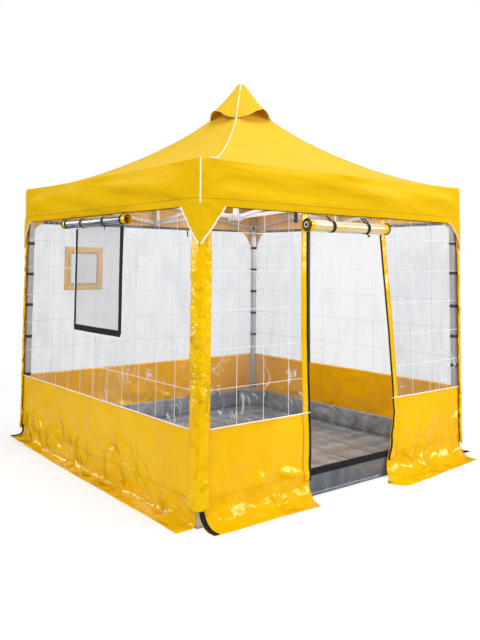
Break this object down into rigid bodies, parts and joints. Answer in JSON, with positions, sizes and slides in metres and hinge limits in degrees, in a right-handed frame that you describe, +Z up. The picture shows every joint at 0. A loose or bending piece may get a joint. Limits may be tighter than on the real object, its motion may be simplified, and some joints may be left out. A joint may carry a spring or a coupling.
{
  "type": "clear garden tent",
  "caption": "Square pop-up tent with a peaked vented roof, clear walls with a window and a rolled-up door, ground flaps and a tub groundsheet on a folding steel frame.",
  "frame": {"origin": "on the ground under the peak, at the centre of the square plan", "axes": "+Z up, -Y out through the door wall, -X out through the wall with the tall window"},
  "size_m": [2.87, 2.87, 2.945],
  "materials": {
    "canvas": "coated polyester canvas, satin",
    "pvc": "glossy coated PVC fabric",
    "film": "clear flexible film with a white thread grid",
    "rolled_film": "clear film rolled up with yellow edges",
    "screen": "grey insect mesh",
    "tape": "black hook-and-loop tape",
    "groundsheet": "grey coated groundsheet, half gloss",
    "steel": "galvanised square tube"
  },
  "bodies": {
    "root": {"back_wall_band": "pvc", "back_wall_film": "film", "back_wall_skirt": "pvc", "back_window_frame": "pvc", "back_window_pane": "film", "centre_mast": "steel", "corner_sleeve": "pvc", "corner_strip_back_left": "pvc", "corner_strip_back_right": "pvc", "corner_strip_front_right": "pvc", "door_jamb_left": "pvc", "door_jamb_right": "pvc", "door_roll": "rolled_film", "front_wall_band_left": "pvc", "front_wall_band_right": "pvc", "front_wall_film_left": "film", "front_wall_film_right": "film", "front_wall_header": "film", "front_wall_skirt_left": "pvc", "front_wall_skirt_right": "pvc", "groundsheet": "groundsheet", "left_wall_band": "pvc", "left_wall_film": "film", "left_wall_skirt": "pvc", "leg_back_left": "steel", "leg_back_right": "steel", "leg_front_left": "steel", "leg_front_right": "steel", "right_wall_band": "pvc", "right_wall_film": "film", "right_wall_skirt": "pvc", "roof_canopy": "canvas", "threshold_strip": "tape", "truss_back": "steel", "truss_front": "steel", "truss_left": "steel", "truss_right": "steel", "valance_back": "canvas", "valance_front": "canvas", "valance_left": "canvas", "valance_right": "canvas", "vent_hood": "canvas", "window_edging": "tape", "window_roll": "rolled_film", "window_screen": "screen"}
  },
  "joints": []
}
